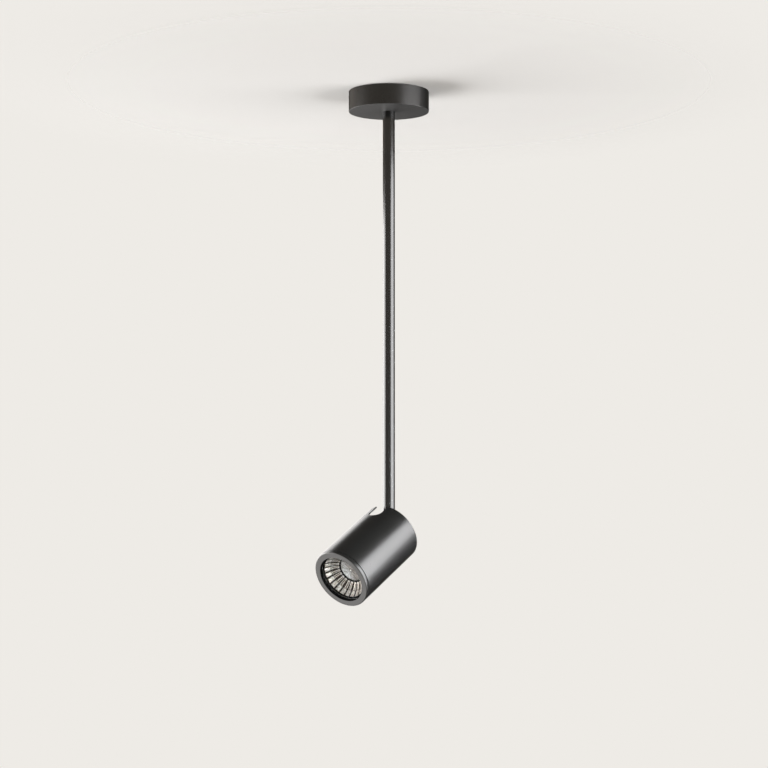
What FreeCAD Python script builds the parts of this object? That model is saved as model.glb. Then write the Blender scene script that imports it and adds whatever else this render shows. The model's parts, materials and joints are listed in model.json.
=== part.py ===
import FreeCAD, Part
# Rod spotlight: a ceiling canopy, a swivelling rod and a tilting lamp head, in millimetres.
# The ceiling is the plane z = 0, the rod hangs down the Z axis and the head aims towards -Y.
# The head's own pieces are drawn with the head hanging straight down and the tilt pivot at
# their origin, and are then swung up to the tilt that they rest at.
import math
import os
import re

import Sketcher
from FreeCAD import Placement, Rotation, Vector

# Driving dimensions, in millimetres and degrees
SIZES = {
    # Canopy cover and the plate that carries it
    "canopy_radius": 40.0,
    "canopy_depth": 20.0,
    "canopy_wall": 1.5,
    "canopy_edge_round": 0.25,
    "bracket_thickness": 1.5,
    "bracket_gap": 1.0,
    "tab_width": 9.0,
    "tab_drop": 8.5,
    "tab_turn": 40.0,
    "ceiling_hole_spacing": 56.0,
    "ceiling_slot_width": 4.5,
    "ceiling_slot_length": 12.0,
    "cover_screw_drop": 6.0,
    "grub_radius": 1.5,
    "grub_length": 5.0,
    "grub_inset": 0.3,
    "grub_socket_radius": 0.85,
    "grub_socket_depth": 1.5,
    # Supply entry
    "entry_offset": 21.0,
    "entry_radius": 6.0,
    "grommet_bore_radius": 4.4,
    "grommet_lip": 1.4,
    "grommet_lip_thickness": 1.0,
    # Terminal block, two poles
    "block_width": 17.0,
    "block_depth": 17.0,
    "block_height": 11.0,
    "block_offset": 22.0,
    "pole_spacing": 8.6,
    "wire_hole_radius": 2.1,
    "well_radius": 2.2,
    "well_spacing": 9.0,
    "clamp_slack": 0.05,
    "clamp_wall": 0.8,
    "clamp_length": 14.0,
    "terminal_screw_radius": 1.2,
    "terminal_screw_length": 2.6,
    "terminal_head_radius": 1.9,
    "terminal_head_height": 1.6,
    # Small machine screws
    "screw_radius": 1.5,
    "screw_slack": 0.1,
    "screw_head_radius": 2.75,
    "screw_head_height": 1.9,
    "screw_slot_width": 0.8,
    "screw_slot_depth": 0.9,
    "screw_tip_gap": 0.4,
    # Earth terminals
    "canopy_earth_across": 15.0,
    "canopy_earth_forward": 9.0,
    "canopy_earth_turn": 211.0,
    "head_earth_across": 14.0,
    "head_earth_forward": 9.0,
    "head_earth_turn": 150.0,
    "earth_ring_radius": 4.0,
    "earth_ring_thickness": 0.8,
    "earth_barrel_start": 3.2,
    "earth_barrel_length": 5.0,
    "earth_barrel_wall": 0.5,
    "earth_barrel_lift": 0.1,
    "crimp_slack": 0.05,
    # Swivel stack at the top of the rod
    "thread_slack": 0.05,
    "nipple_wall": 1.55,
    "nipple_in_rod": 12.0,
    "running_clearance": 0.06,
    "swivel_gap": 0.05,
    "friction_washer_radius": 9.0,
    "friction_washer_thickness": 0.8,
    "disc_spring_radius": 8.5,
    "disc_spring_thickness": 0.5,
    "disc_spring_rise": 0.3,
    "stop_washer_radius": 8.5,
    "stop_washer_thickness": 1.0,
    "stop_tab_reach": 11.4,
    "stop_tab_width": 1.8,
    "stop_pin_circle": 10.2,
    "stop_pin_radius": 1.0,
    "stop_pin_proud": 0.3,
    "nut_across_flats": 14.0,
    "nut_height": 3.0,
    "lock_nut_height": 2.2,
    "thread_stand_out": 0.6,
    # Rod and the knuckle in its lower end
    "rod_radius": 6.0,
    "rod_wall": 1.0,
    "pivot_drop": 440.7,
    "rod_end_rise": 12.0,
    "spigot_length": 14.0,
    "spigot_slack": 0.06,
    "shoulder_height": 2.0,
    "tongue_thickness": 4.0,
    "tongue_back": 1.0,
    "eye_radius": 4.5,
    "heel_width": 3.2,
    "heel_reach": 8.5,
    "channel_clearance": 0.2,
    # Leads
    "lead_radius": 0.9,
    "lead_spacing": 2.0,
    "lead_wall_gap": 0.8,
    "lead_bundle_radius": 1.4,
    "lead_pair_half": 1.25,
    "lead_setback": 3.0,
    "lead_run_in": 2.5,
    "lead_level": 5.5,
    "lead_fan": 6.0,
    "lead_entry": 11.5,
    "lead_straight_run": 40.0,
    "lead_drop": 3.8,
    "lead_swing_radius": 7.2,
    "lead_swing_start": 60.0,
    "lead_swing_end": 120.0,
    "lead_earth_swing": 3.2,
    "lead_hole_approach": 5.0,
    # Tilt pivot
    "pivot_radius": 2.0,
    "pivot_washer_radius": 4.0,
    "pivot_washer_thickness": 0.5,
    "pivot_washer_slack": 0.05,
    "ear_thickness": 2.5,
    "clevis_radius": 12.5,
    "clevis_thickness": 2.5,
    "pivot_height": 14.7,
    "clevis_screw_offset": 9.0,
    "stop_gap": 0.05,
    "pivot_head_radius": 3.8,
    "pivot_head_height": 2.2,
    "pivot_nut_across_flats": 7.0,
    "pivot_nut_height": 3.2,
    "pivot_collar_height": 1.3,
    "pivot_collar_wall": 1.2,
    # Head housing and its carrier plate
    "head_radius": 30.0,
    "head_wall": 1.5,
    "head_length": 88.0,
    "rear_reach": 5.0,
    "head_edge": 0.5,
    "slot_clearance": 1.5,
    "slot_reach": 6.0,
    "flange_width": 6.0,
    "flange_thickness": 3.0,
    "plate_thickness": 2.0,
    "plate_slack": 0.3,
    "plate_screw_inset": 3.3,
    "plate_screw_count": 3,
    "plate_screw_length": 6.0,
    "lead_hole_inset": 3.9,
    "lead_hole_radius": 3.0,
    "lead_grommet_wall": 0.7,
    "lead_grommet_lip": 0.7,
    "lead_grommet_lip_thickness": 0.7,
    "rest_tilt": 60.0,
    # Lampholder
    "holder_radius": 14.5,
    "holder_height": 13.0,
    "holder_edge": 0.8,
    "holder_face": 3.2,
    "holder_floor": 2.0,
    "holder_cavity_radius": 8.0,
    "holder_screw_offset": 10.8,
    "holder_screw_turn": 60.0,
    "holder_screw_recess": 3.0,
    "holder_lead_drop": 3.8,
    "holder_lead_slack": 0.3,
    "pin_spacing": 10.0,
    "pin_radius": 1.6,
    "pin_head_radius": 2.5,
    "pin_head_length": 2.5,
    "pin_length": 7.0,
    "pin_slack": 0.25,
    "pin_head_slack": 0.3,
    "lamp_twist": 18.0,
    "contact_thickness": 0.4,
    "contact_width": 4.0,
    "contact_inside": 2.2,
    "contact_outside": 7.2,
    "contact_gap": 0.3,
    # Lamp
    "lamp_recess": 3.8,
    "lamp_gap": 0.3,
    "lamp_side_gap": 0.94,
    "lamp_rim_height": 4.0,
    "lamp_rim_wall": 0.6,
    "lamp_neck_radius": 14.0,
    "lamp_base_radius": 12.5,
    "lamp_base_height": 7.0,
    "lamp_base_edge": 1.5,
    "bulb_slack": 0.2,
    "glass_thickness": 1.0,
    "bowl_rim_width": 0.8,
    "bowl_throat_radius": 12.5,
    "bowl_depth": 12.0,
    "bowl_wall": 1.2,
    "bowl_flange_thickness": 1.5,
    "bowl_rib_count": 24,
    "bowl_rib_rise": 0.75,
    "board_radius": 15.5,
    "board_thickness": 1.6,
    "lens_gap": 0.4,
    "lens_thickness": 1.6,
    "lens_crown": 0.8,
    "lens_nib_radius": 0.9,
    "lens_nib_rise": 0.5,
    # Front ring and its gasket
    "ring_band": 3.75,
    "ring_reveal": 0.5,
    "ring_lip_width": 1.94,
    "ring_lip_thickness": 2.0,
    "ring_edge_round": 0.8,
    "ring_thread_length": 6.0,
    "ring_thread_slack": 0.06,
    "ring_thread_wall": 2.5,
    "gasket_slack": 0.1,
    # Cutting tools run past the faces that they cut by this much
    "overrun": 1.0,
}

# Places worked out from the driving dimensions
PLACES = {
    "cover_inside_radius": "canopy_radius - canopy_wall",
    "cover_floor": "canopy_wall - canopy_depth",
    "bracket_radius": "cover_inside_radius - bracket_gap",
    "bracket_under": "-bracket_thickness",
    "block_under": "bracket_under - block_height",
    "block_middle": "bracket_under - block_height / 2",
    "clamp_radius": "wire_hole_radius - clamp_slack",
    "clamp_bore_radius": "clamp_radius - clamp_wall",
    "rod_bore_radius": "rod_radius - rod_wall",
    "earth_barrel_radius": "lead_radius + crimp_slack + earth_barrel_wall",
    "earth_barrel_height": "earth_barrel_radius + earth_barrel_lift",
    "nipple_radius": "rod_bore_radius - thread_slack",
    "nipple_bore_radius": "nipple_radius - nipple_wall",
    "cover_bore_radius": "nipple_radius + running_clearance",
    "nut_bore_radius": "nipple_radius + thread_slack",
    "washer_under": "cover_floor + swivel_gap",
    "spring_under": "washer_under + friction_washer_thickness",
    "stop_under": "spring_under + disc_spring_thickness + disc_spring_rise",
    "nut_under": "stop_under + stop_washer_thickness",
    "lock_nut_under": "nut_under + nut_height",
    "nipple_top": "lock_nut_under + lock_nut_height + thread_stand_out",
    "nipple_bottom": "-canopy_depth - nipple_in_rod",
    "rod_top": "-canopy_depth - swivel_gap",
    "rod_bottom": "rod_end_rise - pivot_drop",
    "spigot_radius": "rod_bore_radius - spigot_slack",
    "spigot_top": "rod_end_rise + spigot_length",
    "shoulder_under": "rod_end_rise - shoulder_height",
    "lead_back": "rod_bore_radius - lead_wall_gap - lead_radius",
    "channel_floor": "lead_back - lead_radius - channel_clearance",
    "channel_half": "lead_spacing + lead_radius + channel_clearance",
    "ear_inside": "tongue_thickness / 2 + pivot_washer_thickness + 2 * pivot_washer_slack",
    "ear_outside": "ear_inside + ear_thickness",
    "pivot_bore_radius": "pivot_radius + running_clearance",
    "slot_radius": "rod_radius + slot_clearance",
    "housing_bore_radius": "head_radius - head_wall",
    "front_face": "rear_reach - head_length",
    "band_back": "front_face + ring_band",
    "housing_front": "band_back + ring_reveal",
    "plate_rear": "-pivot_height",
    "flange_rear": "plate_rear + flange_thickness",
    "flange_inner_radius": "housing_bore_radius - flange_width",
    "clevis_rear": "plate_rear + clevis_thickness",
    "plate_radius": "housing_bore_radius - plate_slack",
    "plate_screw_circle": "housing_bore_radius - plate_screw_inset",
    "lead_hole_offset": "flange_inner_radius - lead_hole_inset",
    "holder_back": "plate_rear - plate_thickness",
    "holder_front": "holder_back - holder_height",
    "lamp_front": "front_face + lamp_recess",
    "lamp_back": "holder_front - lamp_gap",
    "lamp_neck": "lamp_back - lamp_base_height",
    "thread_radius": "housing_bore_radius - ring_thread_slack",
    "thread_bore_radius": "thread_radius - ring_thread_wall",
    "ring_opening_radius": "thread_bore_radius - ring_lip_width",
    "lamp_radius": "thread_bore_radius - lamp_side_gap",
    "cavity_front": "holder_front + holder_face",
    "cavity_back": "holder_back - holder_floor",
    "pin_tip": "lamp_back + pin_length",
    "holder_lead_height": "holder_back - holder_lead_drop",
    "glass_front": "lamp_front + bulb_slack",
    "bowl_front": "glass_front + glass_thickness",
    "bowl_back": "bowl_front + bowl_depth",
    "bowl_seat": "bowl_front + bowl_flange_thickness",
    "rim_bore_radius": "lamp_radius - lamp_rim_wall",
    "bulb_part_radius": "rim_bore_radius - bulb_slack",
    "bowl_mouth_radius": "bulb_part_radius - bowl_rim_width",
    "board_front": "bowl_back + bowl_wall",
    "board_back": "board_front + board_thickness",
    "lens_crown_height": "board_front - lens_thickness",
    "lens_radius": "bowl_throat_radius - lens_gap",
    "lens_dome_radius": "(lens_radius ^ 2 + lens_crown ^ 2) / (2 * lens_crown)",
    "thread_back": "housing_front + ring_thread_length",
    "lip_back": "front_face + ring_lip_thickness",
}

# Depth along the reflector and radius above its throat, each as a share of its span
BOWL_SHARES = [(0.0, 1.0), (0.22, 0.88), (0.48, 0.70), (0.75, 0.44), (1.0, 0.08)]
# Corners of the lamp's outside between its neck and its rim, as (length, radius) shares
LAMP_SHARES = [(0.0, 0.0), (0.28, 0.10), (0.62, 0.50), (0.90, 0.93)]
# Setback of a lead's arc from a corner of its route, as a share of the shorter run
BEND_SHARE = 0.45
# Corners of a hexagon, as shares of the circle through them
HALF_SHARE = 0.5
SIDE_SHARE = math.sqrt(3) / 2
HEXAGON_SHARES = [
    (1.0, 0.0), (HALF_SHARE, SIDE_SHARE), (-HALF_SHARE, SIDE_SHARE),
    (-1.0, 0.0), (-HALF_SHARE, -SIDE_SHARE), (HALF_SHARE, -SIDE_SHARE)]
# Most that a lead's volume may differ from its section times its length, as a share
VOLUME_SHARE = 0.01
# How closely an edge has to match the circle that it is looked up by
MATCH = 1e-6

doc = FreeCAD.newDocument("RodSpotlight")
sizes = doc.addObject("Spreadsheet::Sheet", "Sizes")
places = doc.addObject("Spreadsheet::Sheet", "Places")
nodes = []


def bound(formula, own_sheet=None):
    """The formula with each name pointed at the sheet that holds it."""
    def point(match):
        sheet = "Sizes" if match.group(0) in SIZES else "Places"
        return match.group(0) if sheet == own_sheet else f"{sheet}.{match.group(0)}"
    return re.sub(r"[a-z][a-z_]*", point, formula)


def fill_sheet(sheet, rows):
    for row, (name, content) in enumerate(rows, start=1):
        sheet.set(f"A{row}", name)
        sheet.set(f"B{row}", content)
        sheet.setAlias(f"B{row}", name)
    doc.recompute()


def value(formula):
    """What a formula comes to."""
    return float(places.evalExpression(bound(formula)))


def made(kind, label):
    piece = doc.addObject(kind, label)
    piece.Label = label
    return piece


def node(piece, pose=Placement()):
    """Put a piece in its place and mark it as one that is written out."""
    piece.Placement = pose
    nodes.append(piece)
    return piece


def point(across="0", forward="0", up="0"):
    return Vector(value(across), value(forward), value(up))


def at(across="0", forward="0", up="0", rotation=Rotation()):
    """Placement at a point given by three formulas."""
    return Placement(point(across, forward, up), rotation)


def turn(axis, formula):
    return Rotation(axis, value(formula))


def sketch_on(body, role, name, offset="0", turned_by=None):
    """Sketch on one of the body's origin planes, turned about Z where that is asked for."""
    sketch = body.newObject("Sketcher::SketchObject", name)
    plane = next(item for item in body.Origin.OriginFeatures if item.Role == role)
    sketch.AttachmentSupport = [(plane, "")]
    sketch.MapMode = "FlatFace"
    if turned_by is not None:
        upright = Z_AXIS if role == "XY_Plane" else Y_AXIS
        sketch.AttachmentOffset = Placement(Vector(), turn(upright, turned_by))
    if offset != "0":
        sketch.setExpression("AttachmentOffset.Base.z", bound(offset))
    return sketch


def hold_point(sketch, edge, end, across, up):
    """Bind one point of a sketch to two formulas, measured from the sketch's origin."""
    for kind, formula, axis in (("DistanceX", across, -2), ("DistanceY", up, -1)):
        if formula == "0":
            sketch.addConstraint(Sketcher.Constraint("PointOnObject", edge, end, axis))
            continue
        measure = Sketcher.Constraint(kind, -1, 1, edge, end, value(formula))
        row = sketch.addConstraint(measure)
        sketch.setExpression(f"Constraints[{row}]", bound(formula))


def hold_radius(sketch, edge, radius):
    row = sketch.addConstraint(Sketcher.Constraint("Radius", edge, value(radius)))
    sketch.setExpression(f"Constraints[{row}]", bound(radius))


def draw_outline(sketch, corners):
    """Closed outline of straight edges through corners given as pairs of formulas."""
    first = sketch.GeometryCount
    count = len(corners)
    spots = [point(across, up) for across, up in corners]
    for index in range(count):
        sketch.addGeometry(Part.LineSegment(spots[index], spots[(index + 1) % count]), False)
    for index in range(count):
        follower = first + (index + 1) % count
        sketch.addConstraint(Sketcher.Constraint("Coincident", first + index, 2, follower, 1))
    for index, (across, up) in enumerate(corners):
        hold_point(sketch, first + index, 1, across, up)


def draw_rectangle(sketch, low, high):
    """Rectangle between two opposite corners."""
    (left, bottom), (right, top) = low, high
    draw_outline(sketch, [(left, bottom), (right, bottom), (right, top), (left, top)])


def draw_circle(sketch, radius, across="0", up="0"):
    circle = Part.Circle(point(across, up), Z_AXIS, value(radius))
    edge = sketch.addGeometry(circle, False)
    hold_point(sketch, edge, 3, across, up)
    hold_radius(sketch, edge, radius)


def draw_arc(sketch, radius, across, up, start):
    """Half circle, anticlockwise from its start angle."""
    circle = Part.Circle(point(across, up), Z_AXIS, value(radius))
    edge = sketch.addGeometry(Part.ArcOfCircle(circle, start, start + math.pi), False)
    hold_point(sketch, edge, 3, across, up)
    hold_radius(sketch, edge, radius)
    return edge


def draw_side(sketch, start, end):
    """Straight edge that runs on from the end of one edge to the start of another."""
    ends = sketch.getPoint(start, 2), sketch.getPoint(end, 1)
    return sketch.addGeometry(Part.LineSegment(*ends), False)


def draw_slot(sketch, half_width, half_run, across):
    """Slot with round ends, lying along the sketch's X axis."""
    right = draw_arc(sketch, half_width, f"{across} + {half_run}", "0", -math.pi / 2)
    left = draw_arc(sketch, half_width, f"{across} - {half_run}", "0", math.pi / 2)
    for here, there in ((right, left), (left, right)):
        side = draw_side(sketch, here, there)
        sketch.addConstraint(Sketcher.Constraint("Tangent", here, 2, side, 1))
        sketch.addConstraint(Sketcher.Constraint("Tangent", side, 2, there, 1))


def draw_arch(sketch, radius, middle, top):
    """Half circle below a middle height, open upwards between two straight sides."""
    arc = draw_arc(sketch, radius, "0", middle, math.pi)
    right, left = sketch.getPoint(arc, 2), sketch.getPoint(arc, 1)
    rise = point(forward=f"{top} - ({middle})")
    spots = [right, right + rise, left + rise, left]
    sides = [sketch.addGeometry(Part.LineSegment(*pair), False)
             for pair in zip(spots, spots[1:])]
    chain = [arc] + sides + [arc]
    for here, there in zip(chain, chain[1:]):
        sketch.addConstraint(Sketcher.Constraint("Coincident", here, 2, there, 1))
    for kind, edge in zip(("Vertical", "Horizontal", "Vertical"), sides):
        sketch.addConstraint(Sketcher.Constraint(kind, edge))
    sketch.addConstraint(Sketcher.Constraint("Horizontal", arc, 1, arc, 3))
    sketch.addConstraint(Sketcher.Constraint("Horizontal", arc, 2, arc, 3))
    measure = Sketcher.Constraint("DistanceY", -1, 1, sides[0], 2, value(top))
    row = sketch.addConstraint(measure)
    sketch.setExpression(f"Constraints[{row}]", bound(top))


def turned(label, corners):
    """Body turned about the Z axis from an outline of (radius, height) corners."""
    body = made("PartDesign::Body", label)
    sketch = sketch_on(body, "XZ_Plane", f"{label}_profile")
    draw_outline(sketch, corners)
    feature = body.newObject("PartDesign::Revolution", f"{label}_turn")
    feature.Profile = sketch
    feature.ReferenceAxis = (sketch, ["V_Axis"])
    feature.Angle = 360
    doc.recompute()
    return body


def ring(label, bore, radius, under, top):
    """Plain washer, disc or tube between two heights."""
    return turned(label, [(bore, under), (radius, under), (radius, top), (bore, top)])


def pad(body, sketch, length, both_sides=False, reverse=False):
    feature = body.newObject("PartDesign::Pad", f"{sketch.Name}_pad")
    feature.Profile = sketch
    feature.Reversed = reverse
    feature.SideType = "Symmetric" if both_sides else "One side"
    feature.setExpression("Length", bound(length))
    doc.recompute()
    return feature


def pocket(body, sketch, length=None, reverse=False):
    """Pocket of a given length, or through everything both ways; it must remove material."""
    doc.recompute()
    volume = body.Shape.Volume
    feature = body.newObject("PartDesign::Pocket", f"{sketch.Name}_cut")
    feature.Profile = sketch
    feature.Reversed = reverse
    if length is None:
        feature.SideType = "Symmetric"
        feature.Type = "ThroughAll"
    else:
        feature.setExpression("Length", bound(length))
    doc.recompute()
    if not body.Shape.Volume < volume:
        raise RuntimeError(f"{sketch.Name} cuts nothing")
    return feature


def repeated(body, features, sketch, count):
    """Repeat features evenly about the normal of a sketch on the XY plane."""
    pattern = body.newObject("PartDesign::PolarPattern", f"{features[0].Name}_pattern")
    pattern.Originals = features
    pattern.Axis = (sketch, ["N_Axis"])
    pattern.Angle = 360
    pattern.Occurrences = count
    body.Tip = pattern
    doc.recompute()


def drilled(body, name, holes, turned_by=None):
    """Round holes through a body along Z, each (radius, x, y)."""
    sketch = sketch_on(body, "XY_Plane", name, turned_by=turned_by)
    for radius, across, forward in holes:
        draw_circle(sketch, radius, across, forward)
    return sketch, pocket(body, sketch)


def pair_along_x(radius, offset):
    return [(radius, offset, "0"), (radius, f"-{offset}", "0")]


def rounded(body, name, size, edges):
    """Round the circular edges with the given (radius, height)."""
    wanted = [(value(radius), value(height)) for radius, height in edges]
    base = body.Tip
    names = []
    for index, edge in enumerate(base.Shape.Edges, start=1):
        if isinstance(edge.Curve, Part.Circle):
            found = edge.Curve.Radius, edge.Curve.Center.z
            if any(math.dist(found, circle) < MATCH for circle in wanted):
                names.append(f"Edge{index}")
    fillet = body.newObject("PartDesign::Fillet", name)
    fillet.Base = (base, names)
    fillet.setExpression("Radius", bound(size))
    doc.recompute()


def group(label, master, spots):
    """Identical pieces in one node: a link to the master at each placement."""
    links = []
    for index, spot in enumerate(spots, start=1):
        link = doc.addObject("App::Link", f"{label}_{index}")
        link.LinkedObject = master
        link.Placement = spot
        links.append(link)
    piece = made("Part::Compound", label)
    piece.Links = links
    doc.recompute()
    return piece


def pan_screw(label, radius, length, head_radius, head_height):
    """Slotted screw along Z, with the seat of its head at its origin."""
    body = turned(label, [
        ("0", head_height), (f"{head_radius} - {head_height} / 3", head_height),
        (head_radius, f"{head_height} / 2"), (head_radius, "0"), (radius, "0"),
        (radius, f"-({length})"), ("0", f"-({length})")])
    slot = sketch_on(body, "XY_Plane", f"{label}_slot", head_height)
    half = "screw_slot_width / 2"
    reach = f"{head_radius} + overrun"
    draw_rectangle(slot, (f"-({reach})", f"-{half}"), (reach, half))
    pocket(body, slot, "screw_slot_depth")
    return body


def machine_screw(label, length):
    return pan_screw(label, "screw_radius", length, "screw_head_radius", "screw_head_height")


def draw_hexagon(sketch, across_flats):
    """Hexagon round the origin, given its width across the flats."""
    corner = f"{across_flats} / {2 * SIDE_SHARE!r}"
    draw_outline(sketch, [
        tuple("0" if share == 0 else f"{share!r} * {corner}" for share in pair)
        for pair in HEXAGON_SHARES])


def hex_nut(label, across_flats, height, bore):
    """Hexagon nut standing on its origin."""
    body = made("PartDesign::Body", label)
    flats = sketch_on(body, "XY_Plane", f"{label}_flats")
    draw_hexagon(flats, across_flats)
    pad(body, flats, height)
    drilled(body, f"{label}_bore", [(bore, "0", "0")])
    return body


def unit(vector):
    return Vector(vector).normalize()


def lead(label, route):
    """Insulated lead: straight runs along a route, joined by tangent arcs."""
    edges = []
    here = route[0]
    for before, corner, after in zip(route, route[1:], route[2:]):
        arriving, leaving = corner - before, after - corner
        half_turn = arriving.getAngle(leaving) / 2
        if half_turn < MATCH:
            continue
        shorter = min(arriving.Length, leaving.Length)
        setback = min(BEND_SHARE * shorter, value("lead_setback"))
        bend = setback / math.tan(half_turn)
        inwards = unit(unit(leaving) - unit(arriving))
        start = corner - unit(arriving) * setback
        middle = corner + inwards * (bend / math.cos(half_turn) - bend)
        end = corner + unit(leaving) * setback
        edges.append(Part.LineSegment(here, start).toShape())
        edges.append(Part.Arc(start, middle, end).toShape())
        here = end
    edges.append(Part.LineSegment(here, route[-1]).toShape())
    path = Part.Wire(edges)
    radius = value("lead_radius")
    section = Part.Wire(Part.makeCircle(radius, route[0], route[1] - route[0]))
    solid = path.makePipeShell([section], True, False)
    expected = math.pi * radius ** 2 * path.Length
    if abs(solid.Volume - expected) > VOLUME_SHARE * expected:
        raise RuntimeError(f"{label}: the lead's volume is off")
    return solid


def leads(label, routes):
    """Node of one lead, or of several alike."""
    piece = made("Part::Feature", label)
    solids = [lead(label, route) for route in routes]
    piece.Shape = solids[0] if len(solids) == 1 else Part.makeCompound(solids)
    return node(piece)


def earth_ring(label, pose):
    """Ring terminal: a flat ring with a crimped barrel running out along X."""
    flat = made("Part::Cylinder", f"{label}_flat")
    flat.setExpression("Radius", bound("earth_ring_radius"))
    flat.setExpression("Height", bound("earth_ring_thickness"))
    tubes = []
    for name, radius in (("barrel", "earth_barrel_radius"), ("bore", "lead_radius + crimp_slack")):
        tube = made("Part::Cylinder", f"{label}_{name}")
        tube.setExpression("Radius", bound(radius))
        tube.setExpression("Height", bound("earth_barrel_length"))
        tube.Placement = at("earth_barrel_start", "0", "earth_barrel_height", turn(Y_AXIS, "90"))
        tubes.append(tube)
    hole = made("Part::Cylinder", f"{label}_hole")
    hole.setExpression("Radius", bound("screw_radius + screw_slack"))
    hole.setExpression("Height", bound("earth_ring_thickness"))
    joined = made("Part::Fuse", f"{label}_joined")
    joined.Base, joined.Tool = flat, tubes[0]
    open_barrel = made("Part::Cut", f"{label}_open")
    open_barrel.Base, open_barrel.Tool = joined, tubes[1]
    terminal = made("Part::Cut", label)
    terminal.Base, terminal.Tool = open_barrel, hole
    doc.recompute()
    return node(terminal, pose)


X_AXIS, Y_AXIS, Z_AXIS = Vector(1, 0, 0), Vector(0, 1, 0), Vector(0, 0, 1)
fill_sheet(sizes, [(name, str(size)) for name, size in SIZES.items()])
fill_sheet(places, [(name, "=" + bound(formula, "Places")) for name, formula in PLACES.items()])
UPSIDE_DOWN = turn(X_AXIS, "180")
PIVOT = at(up="-pivot_drop")
HEAD = at(up="-pivot_drop", rotation=turn(-X_AXIS, "rest_tilt"))


def canopy_cover():
    cover = turned("canopy_cover", [
        ("cover_inside_radius", "0"), ("canopy_radius", "0"),
        ("canopy_radius", "-canopy_depth"), ("cover_bore_radius", "-canopy_depth"),
        ("cover_bore_radius", "cover_floor"), ("cover_inside_radius", "cover_floor")])
    rounded(cover, "cover_edge", "canopy_edge_round", [("canopy_radius", "-canopy_depth")])
    sides = sketch_on(cover, "YZ_Plane", "cover_screw_holes", turned_by="tab_turn")
    draw_circle(sides, "grub_radius + screw_slack", "0", "-cover_screw_drop")
    pocket(cover, sides)
    node(cover)
    stop_pin = ring("swivel_stop_pin", "0", "stop_pin_radius", "cover_floor",
                    "nut_under + stop_pin_proud")
    node(stop_pin, at(forward="stop_pin_circle"))


def ceiling_bracket():
    """Ceiling plate with two tabs turned down on a diagonal and slots along X."""
    plate = ring("ceiling_bracket", "0", "bracket_radius", "bracket_under", "0")
    tabs = sketch_on(plate, "XY_Plane", "bracket_tabs", "bracket_under + overrun / 2", "tab_turn")
    half = "tab_width / 2"
    inner = "bracket_radius - 2 * bracket_thickness"
    outer = "bracket_radius - bracket_thickness"
    draw_rectangle(tabs, (inner, f"-{half}"), (outer, half))
    draw_rectangle(tabs, (f"-({outer})", f"-{half}"), (f"-({inner})", half))
    pad(plate, tabs, "tab_drop + overrun / 2", reverse=True)
    bores = sketch_on(plate, "YZ_Plane", "bracket_tab_holes", turned_by="tab_turn")
    draw_circle(bores, "grub_radius", "0", "-cover_screw_drop")
    pocket(plate, bores)
    slots = sketch_on(plate, "XY_Plane", "bracket_slots")
    run = "(ceiling_slot_length - ceiling_slot_width) / 2"
    for side in ("ceiling_hole_spacing / 2", "-ceiling_hole_spacing / 2"):
        draw_slot(slots, "ceiling_slot_width / 2", run, side)
    pocket(plate, slots)
    drilled(plate, "bracket_holes", [
        ("entry_radius", "0", "entry_offset"), ("screw_radius", "0", "-block_offset"),
        ("screw_radius", "canopy_earth_across", "canopy_earth_forward")])
    node(plate)

    grub = ring("grub_screw", "0", "grub_radius", "0", "grub_length")
    socket = sketch_on(grub, "XY_Plane", "grub_socket", "grub_length")
    draw_hexagon(socket, "2 * grub_socket_radius")
    pocket(grub, socket, "grub_socket_depth")
    outwards = turn(Y_AXIS, "90")
    spots = []
    for quarter in ("tab_turn", "tab_turn + 180"):
        spin = turn(Z_AXIS, quarter)
        reach = point("canopy_radius - grub_inset - grub_length", "0", "-cover_screw_drop")
        spots.append(Placement(spin.multVec(reach), spin.multiply(outwards)))
    node(group("canopy_grub_screws", grub, spots))

    lip = "entry_radius + grommet_lip"
    low = "bracket_under - grommet_lip_thickness"
    grommet = turned("entry_grommet", [
        ("grommet_bore_radius", "0"), ("entry_radius", "0"), ("entry_radius", "bracket_under"),
        (lip, "bracket_under"), (lip, low), ("grommet_bore_radius", low)])
    node(grommet, at(forward="entry_offset"))


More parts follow.
